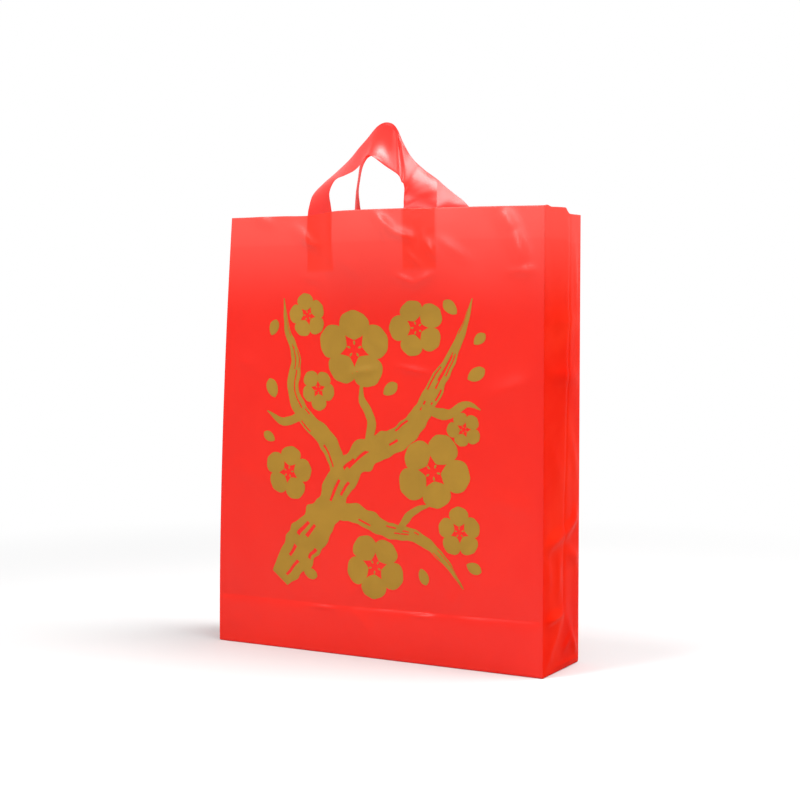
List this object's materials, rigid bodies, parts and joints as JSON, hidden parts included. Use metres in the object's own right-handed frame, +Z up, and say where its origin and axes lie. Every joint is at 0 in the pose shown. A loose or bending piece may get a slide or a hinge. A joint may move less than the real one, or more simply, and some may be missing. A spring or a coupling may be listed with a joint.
{
  "type": "plastic carrier bag",
  "caption": "Standing carrier bag of translucent film with side gussets, a flat block bottom, a turned-in hem and welded film-strip loop handles",
  "frame": {"origin": "middle of the base, on the surface that the bag stands on", "axes": "+Z up, +X along the front panel to the right, -Y out of the front panel"},
  "size_m": [0.424, 0.12, 0.6008],
  "materials": {
    "red_film": "satin translucent polyethylene film",
    "handle_film": "satin translucent polyethylene strip",
    "gold_ink": "matt gold printing ink"
  },
  "bodies": {
    "root": {"bag_body": "red_film", "front_handle": "handle_film", "back_handle": "handle_film"}
  },
  "joints": []
}
